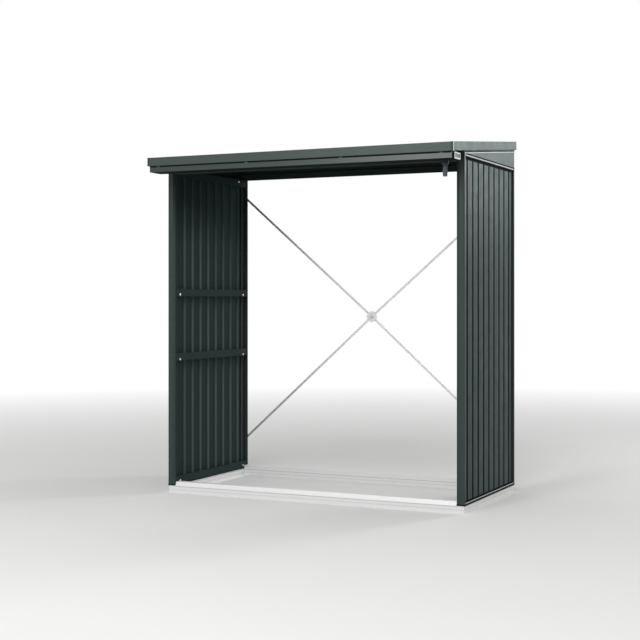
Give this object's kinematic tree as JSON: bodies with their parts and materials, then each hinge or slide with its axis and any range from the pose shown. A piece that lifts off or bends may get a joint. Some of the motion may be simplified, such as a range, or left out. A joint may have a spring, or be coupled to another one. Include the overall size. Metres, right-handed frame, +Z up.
{
  "type": "log store",
  "caption": "Open-fronted log store of folded steel sheet on an aluminium base frame, with a lean-to roof, a gutter and a cross-braced open back.",
  "frame": {"origin": "on the ground, below the middle of the roof's outline", "axes": "+X to the right along the open front, +Y from the front to the back, +Z up"},
  "size_m": [1.92, 1.07, 2.1116],
  "materials": {
    "anthracite paint": "satin powder coat, slightly metallic",
    "base aluminium": "mill finish extrusion",
    "galvanised steel": "galvanised",
    "end cap metal": "light grey, satin",
    "base seal rubber": "black, matte",
    "outlet plastic": "grey, weathered"
  },
  "bodies": {
    "root": {"base_front_sill": "base aluminium", "base_rear_sill": "base aluminium", "brace_hub": "galvanised steel", "front_beam": "anthracite paint", "front_fascia": "anthracite paint", "gutter": "anthracite paint", "gutter_outlet": "outlet plastic", "left_base_seal": "base seal rubber", "left_base_sill": "base aluminium", "left_bottom_rail": "anthracite paint", "left_fascia": "anthracite paint", "left_front_post": "anthracite paint", "left_gable_panel": "anthracite paint", "left_gutter_end_cap": "end cap metal", "left_lower_brace_anchor": "galvanised steel", "left_lower_brace_strap": "galvanised steel", "left_lower_mid_rail": "anthracite paint", "left_rear_post": "anthracite paint", "left_top_rail": "anthracite paint", "left_upper_brace_anchor": "galvanised steel", "left_upper_brace_strap": "galvanised steel", "left_upper_mid_rail": "anthracite paint", "left_wall_panel": "anthracite paint", "rear_beam": "anthracite paint", "rear_fascia": "anthracite paint", "right_base_seal": "base seal rubber", "right_base_sill": "base aluminium", "right_bottom_rail": "anthracite paint", "right_fascia": "anthracite paint", "right_front_post": "anthracite paint", "right_gable_panel": "anthracite paint", "right_gutter_end_cap": "end cap metal", "right_lower_brace_anchor": "galvanised steel", "right_lower_brace_strap": "galvanised steel", "right_lower_mid_rail": "anthracite paint", "right_rear_post": "anthracite paint", "right_top_rail": "anthracite paint", "right_upper_brace_anchor": "galvanised steel", "right_upper_brace_strap": "galvanised steel", "right_upper_mid_rail": "anthracite paint", "right_wall_panel": "anthracite paint", "roof_panel_1": "anthracite paint", "roof_panel_2": "anthracite paint", "roof_panel_3": "anthracite paint", "roof_panel_4": "anthracite paint"}
  },
  "joints": []
}
